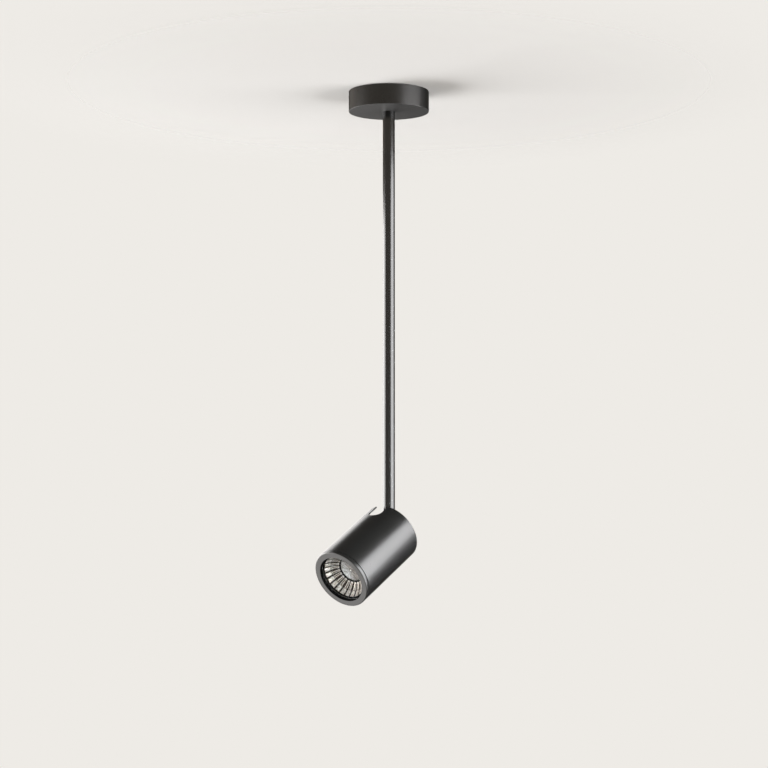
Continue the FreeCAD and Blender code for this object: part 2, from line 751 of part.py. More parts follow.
def terminals():
    """Two-pole terminal block under the bracket, and the canopy's earth terminal."""
    half_width, half_depth = "block_width / 2", "block_depth / 2"
    poles = ("pole_spacing / 2", "-pole_spacing / 2")
    rows = ("well_spacing / 2", "-well_spacing / 2")
    block = made("PartDesign::Body", "terminal_block")
    base = sketch_on(block, "XY_Plane", "block_base", "block_under")
    draw_rectangle(base, (f"-{half_width}", f"-{half_depth}"), (half_width, half_depth))
    pad(block, base, "block_height")
    wires = sketch_on(block, "XZ_Plane", "block_wire_holes")
    for pole in poles:
        draw_circle(wires, "wire_hole_radius", pole, "block_middle")
    pocket(block, wires)
    wells = sketch_on(block, "XY_Plane", "block_wells", "block_under")
    for pole in poles:
        for row in rows:
            draw_circle(wells, "well_radius", pole, row)
    pocket(block, wells, "block_height / 2", reverse=True)
    drilled(block, "block_fixing", [("screw_radius + screw_slack", "0", "0")])
    node(block, at(forward="-block_offset"))

    clamp = ring("terminal_clamp", "clamp_bore_radius", "clamp_radius",
                 "-clamp_length / 2", "clamp_length / 2")
    taps = sketch_on(clamp, "XZ_Plane", "clamp_taps")
    for row in rows:
        draw_circle(taps, "terminal_screw_radius + thread_slack", "0", row)
    pocket(clamp, taps, "clamp_radius + overrun", reverse=True)
    lying = turn(X_AXIS, "90")
    node(group("terminal_clamps", clamp, [
        at(pole, "-block_offset", "block_middle", lying) for pole in poles]))

    screw = pan_screw("terminal_screw", "terminal_screw_radius", "terminal_screw_length",
                      "terminal_head_radius", "terminal_head_height")
    seat = "block_middle - lead_radius - clamp_slack - terminal_screw_length"
    node(group("terminal_screws", screw, [
        at(pole, f"{row} - block_offset", seat, UPSIDE_DOWN) for pole in poles for row in rows]))
    node(machine_screw("block_screw", "block_height + bracket_thickness - screw_tip_gap"),
         at("0", "-block_offset", "block_under", UPSIDE_DOWN))

    earth = "canopy_earth_across", "canopy_earth_forward"
    towards_rod = turn(Z_AXIS, "canopy_earth_turn").multiply(UPSIDE_DOWN)
    pose = at(*earth, "bracket_under", towards_rod)
    earth_ring("canopy_earth_ring", pose)
    node(machine_screw("canopy_earth_screw",
                       "earth_ring_thickness + bracket_thickness - screw_tip_gap"),
         at(*earth, "bracket_under - earth_ring_thickness", UPSIDE_DOWN))
    return pose


def swivel():
    """Nipple, washers and nuts that hang the rod from the cover and let it turn."""
    node(ring("top_nipple", "nipple_bore_radius", "nipple_radius", "nipple_bottom",
              "nipple_top"))
    node(ring("friction_washer", "nut_bore_radius", "friction_washer_radius",
              "washer_under", "spring_under"))
    node(turned("disc_spring", [
        ("nut_bore_radius", "spring_under + disc_spring_rise"),
        ("disc_spring_radius", "spring_under"),
        ("disc_spring_radius", "spring_under + disc_spring_thickness"),
        ("nut_bore_radius", "stop_under")]))
    stop = ring("stop_washer", "nut_bore_radius", "stop_washer_radius", "stop_under",
                "nut_under")
    tab = sketch_on(stop, "XY_Plane", "stop_tab", "stop_under")
    half = "stop_tab_width / 2"
    draw_rectangle(tab, (f"-{half}", "-stop_tab_reach"), (half, "overrun - stop_washer_radius"))
    pad(stop, tab, "stop_washer_thickness")
    node(stop)
    node(hex_nut("swivel_nut", "nut_across_flats", "nut_height", "nut_bore_radius"),
         at(up="nut_under"))
    node(hex_nut("lock_nut", "nut_across_flats", "lock_nut_height", "nut_bore_radius"),
         at(up="lock_nut_under"))


def rod():
    node(ring("rod_tube", "rod_bore_radius", "rod_radius", "rod_bottom", "rod_top"))
    knuckle = turned("knuckle", [
        ("0", "shoulder_under"), ("rod_radius", "shoulder_under"),
        ("rod_radius", "rod_end_rise"), ("spigot_radius", "rod_end_rise"),
        ("spigot_radius", "spigot_top"), ("0", "spigot_top")])
    neck = sketch_on(knuckle, "YZ_Plane", "knuckle_neck")
    draw_rectangle(neck, ("-eye_radius", "0"), ("tongue_back", "shoulder_under + overrun"))
    pad(knuckle, neck, "tongue_thickness", both_sides=True)
    eye = sketch_on(knuckle, "YZ_Plane", "knuckle_eye")
    draw_circle(eye, "eye_radius")
    pad(knuckle, eye, "tongue_thickness", both_sides=True)
    heel = sketch_on(knuckle, "YZ_Plane", "knuckle_heel")
    half = "heel_width / 2"
    draw_rectangle(heel, (f"-{half}", "-heel_reach"), (half, "0"))
    pad(knuckle, heel, "tongue_thickness", both_sides=True)
    bore = sketch_on(knuckle, "YZ_Plane", "knuckle_bore")
    draw_circle(bore, "pivot_bore_radius")
    pocket(knuckle, bore)
    channel = sketch_on(knuckle, "XY_Plane", "knuckle_channel", "shoulder_under")
    draw_rectangle(channel, ("-channel_half", "channel_floor"),
                   ("channel_half", "rod_radius + overrun"))
    pocket(knuckle, channel, "spigot_top - shoulder_under", reverse=True)
    node(knuckle, PIVOT)


def head_housing():
    """Tube with an inner flange at the back and a slot that the rod tilts into."""
    housing = turned("head_housing", [
        ("housing_bore_radius", "rear_reach"), ("head_radius", "rear_reach"),
        ("head_radius", "housing_front"), ("housing_bore_radius", "housing_front"),
        ("housing_bore_radius", "plate_rear"), ("flange_inner_radius", "plate_rear"),
        ("flange_inner_radius", "flange_rear"), ("housing_bore_radius", "flange_rear")])
    rounded(housing, "housing_edge", "head_edge", [("head_radius", "rear_reach")])
    slot = sketch_on(housing, "XZ_Plane", "housing_slot")
    draw_arch(slot, "slot_radius", "-slot_reach", "rear_reach + overrun")
    pocket(housing, slot, "head_radius + overrun", reverse=True)
    holes, cut = drilled(housing, "flange_holes", [
        ("screw_radius + screw_slack", "0", "plate_screw_circle")])
    repeated(housing, [cut], holes, SIZES["plate_screw_count"])
    node(housing, HEAD)


def carrier_plate():
    plate = ring("carrier_plate", "0", "plate_radius", "holder_back", "plate_rear")
    drilled(plate, "plate_clevis_holes", pair_along_x("screw_radius", "clevis_screw_offset"))
    drilled(plate, "plate_holder_holes", pair_along_x("screw_radius", "holder_screw_offset"),
            "holder_screw_turn")
    drilled(plate, "plate_other_holes", [
        ("lead_hole_radius", "0", "lead_hole_offset"),
        ("screw_radius", "head_earth_across", "head_earth_forward")])
    rim, cut = drilled(plate, "plate_rim_holes", [("screw_radius", "0", "plate_screw_circle")])
    repeated(plate, [cut], rim, SIZES["plate_screw_count"])
    node(plate, HEAD)

    screw = machine_screw("plate_screw", "plate_screw_length")
    step = f"360 / {SIZES['plate_screw_count']}"
    spots = []
    for index in range(SIZES["plate_screw_count"]):
        spin = turn(Z_AXIS, f"{index} * {step}")
        spots.append(Placement(spin.multVec(point("0", "plate_screw_circle", "flange_rear")), spin))
    node(group("plate_screws", screw, spots), HEAD)

    bore = "lead_hole_radius - lead_grommet_wall"
    lip = "lead_hole_radius + lead_grommet_lip"
    front = "holder_back - lead_grommet_lip_thickness"
    rear = "plate_rear + lead_grommet_lip_thickness"
    grommet = turned("lead_grommet", [
        (bore, front), (lip, front), (lip, "holder_back"), ("lead_hole_radius", "holder_back"),
        ("lead_hole_radius", "plate_rear"), (lip, "plate_rear"), (lip, rear), (bore, rear)])
    node(grommet, HEAD.multiply(at(forward="lead_hole_offset")))

    earth = "head_earth_across", "head_earth_forward"
    away = turn(Z_AXIS, "head_earth_turn")
    pose = HEAD.multiply(at(*earth, "plate_rear", away))
    earth_ring("head_earth_ring", pose)
    node(machine_screw("head_earth_screw",
                       "earth_ring_thickness + plate_thickness - screw_tip_gap"),
         HEAD.multiply(at(*earth, "plate_rear + earth_ring_thickness")))
    return pose


def clevis():
    """Clevis on the carrier plate: a foot, two ears and the block that ends the tilt both ways."""
    foot = ring("clevis", "0", "clevis_radius", "plate_rear", "clevis_rear")
    ear = sketch_on(foot, "YZ_Plane", "clevis_ear", "ear_inside")
    draw_rectangle(ear, ("-eye_radius", "clevis_rear - overrun"), ("eye_radius", "0"))
    flat = pad(foot, ear, "ear_thickness")
    end = sketch_on(foot, "YZ_Plane", "clevis_ear_end", "ear_inside")
    draw_circle(end, "eye_radius")
    tip = pad(foot, end, "ear_thickness")
    holes, _ = drilled(foot, "clevis_screw_holes",
                       pair_along_x("screw_radius + screw_slack", "clevis_screw_offset"))
    repeated(foot, [flat, tip], holes, 2)
    stop = sketch_on(foot, "YZ_Plane", "clevis_stop")
    draw_rectangle(stop, ("-eye_radius", "clevis_rear - overrun"),
                   ("-heel_width / 2 - stop_gap", "-eye_radius - stop_gap"))
    pad(foot, stop, "2 * ear_inside + overrun", both_sides=True)
    bore = sketch_on(foot, "YZ_Plane", "clevis_bore")
    draw_circle(bore, "pivot_radius + thread_slack")
    pocket(foot, bore)
    node(foot, HEAD)
    screw = machine_screw("clevis_screw", "clevis_thickness + plate_thickness - screw_tip_gap")
    node(group("clevis_screws", screw, [
        at("clevis_screw_offset", "0", "clevis_rear"),
        at("-clevis_screw_offset", "0", "clevis_rear")]), HEAD)


def pivot():
    """Bolt, self-locking nut and friction washers on the tilt axis."""
    length = "2 * ear_outside + pivot_nut_height + pivot_collar_height + thread_stand_out"
    bolt = pan_screw("pivot_bolt", "pivot_radius", length, "pivot_head_radius",
                     "pivot_head_height")
    right, left = turn(Y_AXIS, "90"), turn(Y_AXIS, "-90")
    node(bolt, HEAD.multiply(at("ear_outside", rotation=right)))
    nut = hex_nut("pivot_nut", "pivot_nut_across_flats", "pivot_nut_height",
                  "pivot_radius + thread_slack")
    collar = sketch_on(nut, "XY_Plane", "pivot_nut_collar", "pivot_nut_height - overrun / 2")
    draw_circle(collar, "pivot_radius + pivot_collar_wall")
    draw_circle(collar, "pivot_radius + thread_slack")
    pad(nut, collar, "pivot_collar_height + overrun / 2")
    node(nut, HEAD.multiply(at("-ear_outside", rotation=left)))
    washer = ring("pivot_washer", "pivot_bore_radius", "pivot_washer_radius", "0",
                  "pivot_washer_thickness")
    seat = "tongue_thickness / 2 + pivot_washer_slack"
    node(group("pivot_washers", washer, [
        at(seat, rotation=right), at(f"-({seat})", rotation=left)]), HEAD)


def lampholder():
    """Ceramic holder: a hollow puck with a keyhole for each of the lamp's pins."""
    shoulder = "holder_radius - holder_edge"
    holder = turned("lampholder", [
        ("0", "holder_front"), (shoulder, "holder_front"),
        ("holder_radius", "holder_front + holder_edge"), ("holder_radius", "holder_back"),
        ("0", "holder_back"), ("0", "cavity_back"), ("holder_cavity_radius", "cavity_back"),
        ("holder_cavity_radius", "cavity_front"), ("0", "cavity_front")])
    for name, radius, twist in (("holder_pin_seats", "pin_radius + pin_slack", "0"),
                                ("holder_pin_entries", "pin_head_radius + pin_head_slack",
                                 "-lamp_twist")):
        keyholes = sketch_on(holder, "XY_Plane", name, "holder_front", twist)
        for side in ("pin_spacing / 2", "-pin_spacing / 2"):
            draw_circle(keyholes, radius, side)
        pocket(holder, keyholes, "holder_face", reverse=True)
    drilled(holder, "holder_screw_holes",
            pair_along_x("screw_radius + screw_slack", "holder_screw_offset"),
            "holder_screw_turn")
    recess = sketch_on(holder, "XY_Plane", "holder_screw_recesses", "holder_front",
                       "holder_screw_turn")
    for side in ("holder_screw_offset", "-holder_screw_offset"):
        draw_circle(recess, "screw_head_radius + screw_slack", side)
    pocket(holder, recess, "holder_screw_recess", reverse=True)
    way_out = sketch_on(holder, "XZ_Plane", "holder_lead_way")
    half = "(lead_pair_half + lead_radius + holder_lead_slack)"
    rise = "(lead_radius + holder_lead_slack)"
    draw_rectangle(way_out, (f"-{half}", f"holder_lead_height - {rise}"),
                   (half, f"holder_lead_height + {rise}"))
    pocket(holder, way_out, "holder_radius + overrun")
    node(holder, HEAD)

    screw = machine_screw(
        "holder_screw", "holder_height - holder_screw_recess + plate_thickness - screw_tip_gap")
    spin = turn(Z_AXIS, "holder_screw_turn")
    seat = "holder_front + holder_screw_recess"
    node(group("holder_screws", screw, [
        Placement(spin.multVec(point(side, "0", seat)), UPSIDE_DOWN)
        for side in ("holder_screw_offset", "-holder_screw_offset")]), HEAD)

    leaf_back = "pin_tip + contact_gap + contact_thickness"
    contact = made("PartDesign::Body", "holder_contact")
    bend = sketch_on(contact, "XZ_Plane", "contact_bend")
    draw_outline(bend, [
        ("contact_inside", "cavity_back"), ("contact_outside", "cavity_back"),
        ("contact_outside", "cavity_back - contact_thickness"),
        ("contact_inside + contact_thickness", "cavity_back - contact_thickness"),
        ("contact_inside + contact_thickness", leaf_back), ("contact_outside", leaf_back),
        ("contact_outside", "pin_tip + contact_gap"),
        ("contact_inside", "pin_tip + contact_gap")])
    pad(contact, bend, "contact_width", both_sides=True)
    node(group("holder_contacts", contact, [at(), at(rotation=turn(Z_AXIS, "180"))]), HEAD)


def bowl_radius(share, extra):
    return f"bowl_throat_radius + {share} * (bowl_mouth_radius - bowl_throat_radius) + {extra}"


def bowl_height(share):
    return f"bowl_front + {share} * bowl_depth"


def lamp():
    """Reflector lamp with two pins: base, heat sink, glass, board and lens."""
    edge = "lamp_back - lamp_base_edge"
    node(turned("lamp_base", [
        ("0", "lamp_neck"), ("lamp_base_radius", "lamp_neck"), ("lamp_base_radius", edge),
        ("lamp_base_radius - lamp_base_edge", "lamp_back"), ("0", "lamp_back")]), HEAD)
    head = "pin_length - pin_head_length"
    pin = turned("lamp_pin", [
        ("0", "0"), ("pin_radius", "0"), ("pin_radius", head), ("pin_head_radius", head),
        ("pin_head_radius", "pin_length"), ("0", "pin_length")])
    node(group("lamp_pins", pin, [
        at("pin_spacing / 2", "0", "lamp_back"), at("-pin_spacing / 2", "0", "lamp_back")]), HEAD)

    rim_back = "lamp_front + lamp_rim_height"
    outside = [
        (f"lamp_neck_radius + {widening} * (lamp_radius - lamp_neck_radius)",
         f"lamp_neck + {length} * ({rim_back} - lamp_neck)") for length, widening in LAMP_SHARES]
    gap = "(bowl_wall + bulb_slack)"
    inside = [(bowl_radius(share, gap), bowl_height(depth)) for depth, share in BOWL_SHARES[1:-1]]
    seat_edge = (inside[0][0], "bowl_seat")
    board = "board_radius + bulb_slack"
    node(turned("lamp_heat_sink", [
        ("0", "lamp_neck"), *outside, ("lamp_radius", rim_back), ("lamp_radius", "lamp_front"),
        ("rim_bore_radius", "lamp_front"), ("rim_bore_radius", "bowl_seat"), seat_edge, *inside,
        (board, "board_front"), (board, "board_back"), ("0", "board_back")]), HEAD)
    node(ring("lamp_board", "0", "board_radius", "board_front", "board_back"), HEAD)
    node(ring("lamp_glass", "0", "bulb_part_radius", "glass_front", "bowl_front"), HEAD)

    round_lens()


def round_lens():
    """Domed diffuser with a small nib at its crown."""
    skirt = made("Part::Cylinder", "lens_skirt")
    skirt.setExpression("Radius", bound("lens_radius"))
    skirt.setExpression("Height", bound("board_front - lens_crown_height"))
    skirt.Placement = at(up="lens_crown_height")
    dome = made("Part::Sphere", "lens_dome")
    dome.setExpression("Radius", bound("lens_dome_radius"))
    dome.Placement = at(up="lens_crown_height + lens_dome_radius")
    blank = made("Part::Common", "lens_blank")
    blank.Base, blank.Tool = skirt, dome
    nib = made("Part::Sphere", "lens_nib")
    nib.setExpression("Radius", bound("lens_nib_radius"))
    nib.Placement = at(up="lens_crown_height + lens_nib_radius - lens_nib_rise")
    lens = made("Part::Fuse", "lamp_lens")
    lens.Base, lens.Tool = blank, nib
    doc.recompute()
    node(lens, HEAD)


def rib_section(radius, height, rise):
    """Wire of one arc for each rib, each bulging towards the lamp's axis."""
    count = SIZES["bowl_rib_count"]
    half_step = math.pi / count
    arcs = []
    for index in range(count):
        middle = 2 * half_step * index
        start, end = (
            Vector(radius * math.cos(angle), radius * math.sin(angle), height)
            for angle in (middle - half_step, middle + half_step))
        crest = radius * math.cos(half_step) - rise
        top = Vector(crest * math.cos(middle), crest * math.sin(middle), height)
        arcs.append(Part.Arc(start, top, end).toShape())
    return Part.Wire(arcs)


def reflector():
    """Bowl of radial ribs round the lens, lofted through its sections from mouth to throat."""
    outside = [(bowl_radius(share, "bowl_wall"), bowl_height(depth))
               for depth, share in BOWL_SHARES[1:]]
    corners = [
        ("0", "bowl_front"), ("bulb_part_radius", "bowl_front"), ("bulb_part_radius", "bowl_seat"),
        (outside[0][0], "bowl_seat"), *outside, (outside[-1][0], "board_front"),
        ("0", "board_front")]
    spots = [point(across, "0", up) for across, up in corners]
    blank = Part.Face(Part.makePolygon(spots + spots[:1])).revolve(Vector(), Z_AXIS, 360)
    mouth = value("bowl_mouth_radius")
    sections = []
    for depth, share in BOWL_SHARES:
        radius = value(bowl_radius(share, "0"))
        rise = value("bowl_rib_rise") * radius / mouth
        sections.append(rib_section(radius, value(bowl_height(depth)), rise))
    hollow = Part.makeLoft(sections, True, True)
    overrun = value("overrun")
    throat = Part.makeCylinder(value("bowl_throat_radius"), value("bowl_depth") + 2 * overrun,
                               point(up="bowl_back - bowl_depth / 2"))
    bowl = blank.cut(hollow).cut(throat)
    piece = made("Part::Feature", "lamp_reflector")
    piece.Shape = bowl.Solids[0]
    node(piece, HEAD)


def front_ring():
    """Screwed front ring, and the gasket between its lip and the lamp."""
    trim = turned("front_ring", [
        ("ring_opening_radius", "front_face"), ("head_radius", "front_face"),
        ("head_radius", "band_back"), ("thread_radius", "band_back"),
        ("thread_radius", "thread_back"), ("thread_bore_radius", "thread_back"),
        ("thread_bore_radius", "lip_back"), ("ring_opening_radius", "lip_back")])
    rounded(trim, "ring_edge", "ring_edge_round", [("head_radius", "front_face")])
    node(trim, HEAD)
    node(ring("lamp_gasket", "ring_opening_radius", "thread_bore_radius - gasket_slack",
              "lip_back + gasket_slack / 2", "lamp_front - gasket_slack"), HEAD)


def bundle_spot(angle):
    """Top of a lead in the bundle that leaves the nipple, by its angle."""
    return turn(Z_AXIS, angle).multVec(point("lead_bundle_radius", "0", "nipple_top"))


def swung(across, angle):
    """Corner of a lead's way round the back of the tilt pivot."""
    spot = turn(-X_AXIS, angle).multVec(point(across, "0", "lead_swing_radius"))
    return PIVOT.multVec(spot)


def crimped(ring_pose):
    """Last corner and end of a lead that is crimped in an earth ring."""
    run = "earth_barrel_start + earth_barrel_length + lead_run_in"
    return [ring_pose.multVec(point(along, "0", "earth_barrel_height"))
            for along in (run, "earth_barrel_start + overrun")]


def wiring(canopy_ring, head_ring):
    """Leads from the canopy's terminals down the rod and round the pivot into the head."""
    angles = ("150", "270", "30")
    channels = ("-lead_spacing", "0", "lead_spacing")
    fixed, carried, tilting = [], [], []
    for angle, channel in zip(angles, channels):
        mouth = bundle_spot(angle)
        straight = point(up="lead_straight_run")
        bottom = point(channel, "lead_back", "rod_bottom")
        carried.append([mouth, mouth - straight, bottom + straight, bottom])
        fixed.append([mouth])
        tilting.append([bottom, bottom - point(up="lead_drop"), swung(channel, "lead_swing_start")])
    for index, side in enumerate(("-1", "1")):
        mouth = fixed[index][0]
        pole, pair = f"{side} * pole_spacing / 2", f"{side} * lead_pair_half"
        fixed[index] += [
            Vector(mouth.x, mouth.y, value("-lead_level")), point(pole, "-lead_fan", "-lead_level"),
            point(pole, "-lead_entry", "block_middle"),
            point(pole, "overrun - block_offset", "block_middle")]
        between = f"({channels[index]} + {pair}) / 2"
        tilting[index].append(swung(between, "lead_swing_end"))
        tilting[index] += [HEAD.multVec(point(pair, *spot)) for spot in (
            ("lead_hole_offset", "-lead_hole_approach"), ("lead_hole_offset", "holder_lead_height"),
            ("-overrun", "holder_lead_height"))]
    last, end = crimped(canopy_ring)
    mouth = fixed[-1][0]
    fixed[-1] += [Vector(mouth.x, mouth.y, last.z), last, end]
    tilting[-1] += [swung("lead_earth_swing", "lead_swing_end"), *crimped(head_ring)]
    for label, routes in (("canopy", fixed), ("rod", carried), ("head", tilting)):
        leads(f"{label}_leads", routes[:-1])
        leads(f"{label}_earth_lead", routes[-1:])


canopy_cover()
ceiling_bracket()
canopy_earth = terminals()
swivel()
rod()
head_housing()
head_earth = carrier_plate()
clevis()
pivot()
lampholder()
lamp()
reflector()
front_ring()
wiring(canopy_earth, head_earth)

doc.recompute()
for item in doc.Objects:
    if any(state in ("Invalid", "Error") for state in item.State):
        raise RuntimeError(f"{item.Label} could not be made: {item.State}")
for piece in nodes:
    if piece.Shape.isNull() or not piece.Shape.isValid():
        raise RuntimeError(f"{piece.Label} has no valid shape")
os.makedirs("parts", exist_ok=True)
for piece in nodes:
    piece.Shape.exportStep(f"parts/{piece.Label}.step")
print(f"{len(nodes)} nodes written")
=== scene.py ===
import json
import math

import bmesh
import bpy
from mathutils import Euler, Matrix, Vector


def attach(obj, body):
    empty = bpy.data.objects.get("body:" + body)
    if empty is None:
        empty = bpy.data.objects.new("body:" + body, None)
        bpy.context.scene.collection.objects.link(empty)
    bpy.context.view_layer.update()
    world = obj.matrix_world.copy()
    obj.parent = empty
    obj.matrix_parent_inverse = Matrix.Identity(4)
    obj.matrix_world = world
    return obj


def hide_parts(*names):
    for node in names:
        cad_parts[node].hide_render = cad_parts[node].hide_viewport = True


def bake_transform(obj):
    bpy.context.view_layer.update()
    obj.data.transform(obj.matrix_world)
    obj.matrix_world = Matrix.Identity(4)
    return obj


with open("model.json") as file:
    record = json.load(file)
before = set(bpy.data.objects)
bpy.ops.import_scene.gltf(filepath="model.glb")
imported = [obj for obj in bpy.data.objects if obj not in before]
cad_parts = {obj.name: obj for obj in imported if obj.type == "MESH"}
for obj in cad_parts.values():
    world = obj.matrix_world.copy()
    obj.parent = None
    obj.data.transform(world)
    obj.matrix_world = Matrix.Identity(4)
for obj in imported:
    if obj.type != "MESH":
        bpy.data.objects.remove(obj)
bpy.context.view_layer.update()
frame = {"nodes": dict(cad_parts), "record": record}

# Places on the light, in metres in the row frame
MM = 0.001
PIVOT = Vector((0, 0, -440.7 * MM))
REST_TILT = math.radians(-60)
HEAD = Matrix.Translation(PIVOT) @ Matrix.Rotation(REST_TILT, 4, "X")
CANOPY_SIDE_END = -19.6 * MM
CANOPY_UNDERSIDE = -19.9 * MM

# The photograph's camera: its turn round the rod, distance, height and upward pitch
CAMERA_TURN = math.radians(39.58)
CAMERA_DISTANCE = 1.79173
CAMERA_HEIGHT = -0.3958
CAMERA_PITCH = math.radians(3.31)
CAMERA_LENS = 84.98
CAMERA_SENSOR = 36.0
CAMERA_SHIFT = -0.00628
TO_CAMERA = Vector((math.sin(CAMERA_TURN), -math.cos(CAMERA_TURN), 0))
TO_RIGHT = Vector((math.cos(CAMERA_TURN), math.sin(CAMERA_TURN), 0))

# Ribbed bowl of the lamp, in millimetres with the head hanging straight down
RIB_COUNT = 24
COLUMNS_PER_RIB = 8
INNER_ROWS = 17
BOWL_FRONT = -78.0
BOWL_DEPTH = 12.0
MOUTH_RADIUS = 23.4
THROAT_RADIUS = 12.5
BOWL_WALL = 1.2
FLANGE_RADIUS = 24.2
FLANGE_THICKNESS = 1.5
RIB_RISE = 0.75
# Painted reflections of the facing ribs, as dark lines per rib
REFLECTED_LINES_PER_RIB = 2.5
BACK_START_SHARE = 0.2
BOWL_SHARES = [(0.0, 1.0), (0.22, 0.88), (0.48, 0.70), (0.75, 0.44), (1.0, 0.08)]

# Radii in millimetres between which parts of the frosted disc fade: painted shade at its edge, a
# painted highlight on the nib and painted shade round the nib
DISC_EDGE_SHADE = 11.4, 11.8
NIB_HIGHLIGHT_EDGE = 0.8, 1.1
PIT_SHADE_EDGE = 1.2, 2.4
DISC_DISHING = 0.016

# Front ring, in millimetres with the head hanging straight down
RING_FRONT = -83.0
LIP_BACK = -81.0
BAND_BACK = -79.25
THREAD_BACK = -72.75
LIP_RADIUS = 24.0
LIP_BREAK = 0.2
RECESS_RADIUS = 24.15
BAND_RADIUS = 30.0
FACE_ROUND = 0.8
BACK_ROUND = 0.25
FLAT_MARGIN = 0.1
SPIGOT_RADIUS = 25.94
SPIGOT_MOUTH = 26.1
SPIGOT_BREAK = 0.15
THREAD_CREST = 28.44
THREAD_ROOT = 27.94
THREAD_NECK = 0.7
THREAD_STEP = 0.75
THREAD_ROOT_START = 0.3
THREAD_ROOT_END = 0.45
THREAD_LEAD_IN = 0.3
THREAD_RUN_OUT = 0.9

# Surroundings, in metres, and the colours of air, paint and light
AIR_RADIUS = 9.0
CEILING_RADIUS = 0.7
CEILING_GAP = 0.0004
CEILING_HOLE = 38 * MM, 39 * MM
CEILING_FADE = 0.12, 0.45
PALE_AIR = (0.855, 0.831, 0.791, 1.0)
CEILING_PAINT = (0.60, 0.60, 0.60, 1.0)
AIR_TINT = (1.0, 0.88, 0.74, 1.0)
COOL_LIGHT = (0.985, 0.985, 1.0)
WARM_LIGHT = (1.0, 0.985, 0.97)
WASH_LIGHT = (1.0, 0.99, 0.975)
LAMP_LIGHT = (0.86, 0.95, 1.0)

# Sockets of a Mix node that is set to colours
MIX_FIRST, MIX_SECOND, MIX_RESULT = 6, 7, 2


class Value:
    """A shader socket that sums can be written on."""

    def __init__(self, nodes, socket):
        self.nodes = nodes
        self.socket = socket

    def maths(self, operation, *others):
        return self.nodes.maths(operation, self, *others)

    def __add__(self, other):
        return self.maths("ADD", other)

    def __radd__(self, other):
        return self.maths("ADD", other)

    def __sub__(self, other):
        return self.maths("SUBTRACT", other)

    def __rsub__(self, other):
        return self.nodes.maths("SUBTRACT", other, self)

    def __mul__(self, other):
        return self.maths("MULTIPLY", other)

    def __rmul__(self, other):
        return self.maths("MULTIPLY", other)

    def __truediv__(self, other):
        return self.maths("DIVIDE", other)

    def __rtruediv__(self, other):
        return self.nodes.maths("DIVIDE", other, self)

    def swing(self, amount):
        """Changes either side of zero, where the value itself goes from 0 to 1."""
        return (self - 0.5) * amount

    def part(self, axis):
        """One of the three parts of a vector."""
        return self.nodes.node("ShaderNodeSeparateXYZ", {}, {0: self}, axis)

    def clamped(self):
        return self.nodes.node("ShaderNodeClamp", {}, {0: self})


class Nodes:
    """Nodes being added to a material or to the world."""

    def __init__(self, tree):
        self.tree = tree

    def node(self, kind, settings, inputs, output=0):
        """Add a node: its settings first, then the values or links of its sockets."""
        item = self.tree.nodes.new(kind)
        for name, setting in settings.items():
            setattr(item, name, setting)
        for name, source in inputs.items():
            self.join(source, item.inputs[name])
        return Value(self, item.outputs[output])

    def join(self, source, socket):
        if isinstance(source, Value):
            self.tree.links.new(source.socket, socket)
        else:
            socket.default_value = source

    def maths(self, operation, *terms):
        return self.node("ShaderNodeMath", {"operation": operation}, dict(enumerate(terms)))

    def place(self):
        """Where a point is on the light, in metres."""
        return self.node("ShaderNodeTexCoord", {}, {}, "Object")

    def head_place(self):
        """Where a point is on the head, measured as if it hung straight down."""
        return self.node("ShaderNodeMapping", {"vector_type": "TEXTURE"}, {
            "Vector": self.place(), "Location": PIVOT, "Rotation": (REST_TILT, 0, 0)})

    def noise(self, place, scale, detail=2.0, roughness=0.5):
        return self.node("ShaderNodeTexNoise", {}, {
            "Vector": place, "Scale": scale, "Detail": detail, "Roughness": roughness})

    def fade(self, amount, start, end, low=0.0, high=1.0):
        """Smooth step from low to high while the amount goes from start to end."""
        return self.node("ShaderNodeMapRange", {"interpolation_type": "SMOOTHSTEP"}, {
            "Value": amount, "From Min": start, "From Max": end, "To Min": low, "To Max": high})

    def fade_out(self, amount, start, end, high=1.0):
        return self.fade(amount, start, end, high, 0.0)

    def mix(self, amount, first, second):
        """Colour between two colours."""
        inputs = {"Factor": amount, MIX_FIRST: first, MIX_SECOND: second}
        return self.node("ShaderNodeMix", {"data_type": "RGBA"}, inputs, MIX_RESULT)

    def vector(self, operation, vector, *others, output=0):
        inputs = dict(enumerate((vector, *others)))
        return self.node("ShaderNodeVectorMath", {"operation": operation}, inputs, output)

    def stretched(self, place, scales):
        return self.vector("MULTIPLY", place, scales)

    def length(self, vector):
        return self.vector("LENGTH", vector, output="Value")


class Finish(Nodes):
    """A material being built round one Principled shader."""

    def __init__(self, name, **fixed):
        self.material = bpy.data.materials.new(name)
        self.material.use_nodes = True
        super().__init__(self.material.node_tree)
        self.tree.nodes.clear()
        self.shader = self.tree.nodes.new("ShaderNodeBsdfPrincipled")
        output = self.tree.nodes.new("ShaderNodeOutputMaterial")
        self.tree.links.new(self.shader.outputs[0], output.inputs["Surface"])
        self.feed(**fixed)

    def feed(self, **sources):
        """Set or link the shader's sockets, with spaces written as underscores."""
        for name, source in sources.items():
            self.join(source, self.shader.inputs[name.replace("_", " ")])

    def bumped(self, height, strength, depth):
        bump = self.node("ShaderNodeBump", {}, {
            "Height": height, "Strength": strength, "Distance": depth})
        self.feed(Normal=bump)


def colour(red, green, blue):
    return (red, green, blue, 1.0)


def shade(value):
    return colour(value, value, value)


